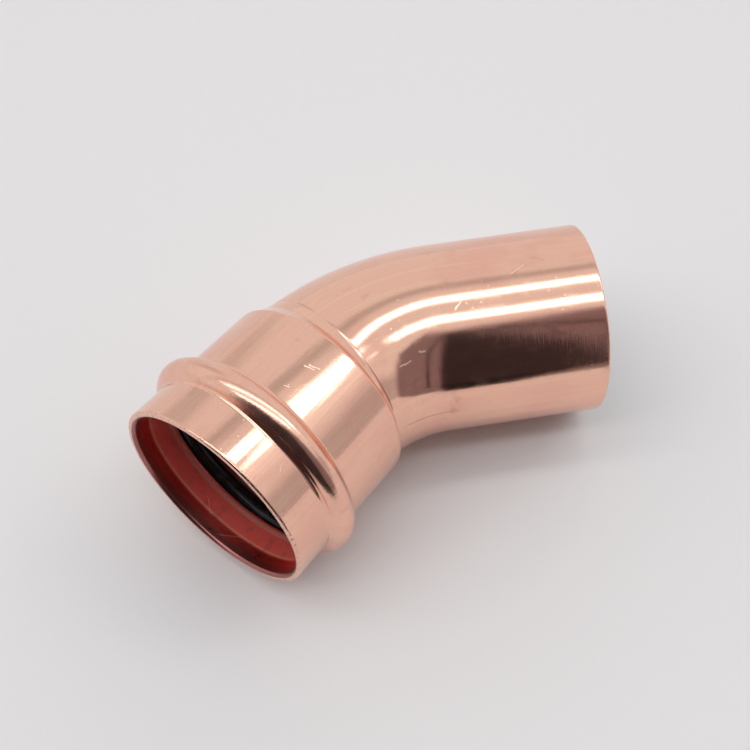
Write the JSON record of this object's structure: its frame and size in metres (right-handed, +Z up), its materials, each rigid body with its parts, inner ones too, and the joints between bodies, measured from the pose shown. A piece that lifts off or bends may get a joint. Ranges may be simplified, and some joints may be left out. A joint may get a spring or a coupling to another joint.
{
  "type": "press-fit pipe elbow",
  "caption": "45 degree copper street elbow for press-fitted pipe: a beaded socket with a rubber ring at one end and a plain spigot at the other.",
  "frame": {"origin": "centre of the spigot's end face, on the spigot's axis", "axes": "+X out of the spigot along its axis, +Z up from the floor that the elbow lies on: it rests on the underside of its spigot and on the crown of its bead, and the socket opens towards -X and -Y"},
  "size_m": [0.1295, 0.0914, 0.0657],
  "materials": {
    "copper": "bright drawn copper, polished, with fine drawing lines",
    "rubber": "black EPDM with a satin, lightly greased surface"
  },
  "bodies": {
    "root": {"elbow_body": "copper", "seal_ring": "rubber"}
  },
  "joints": []
}
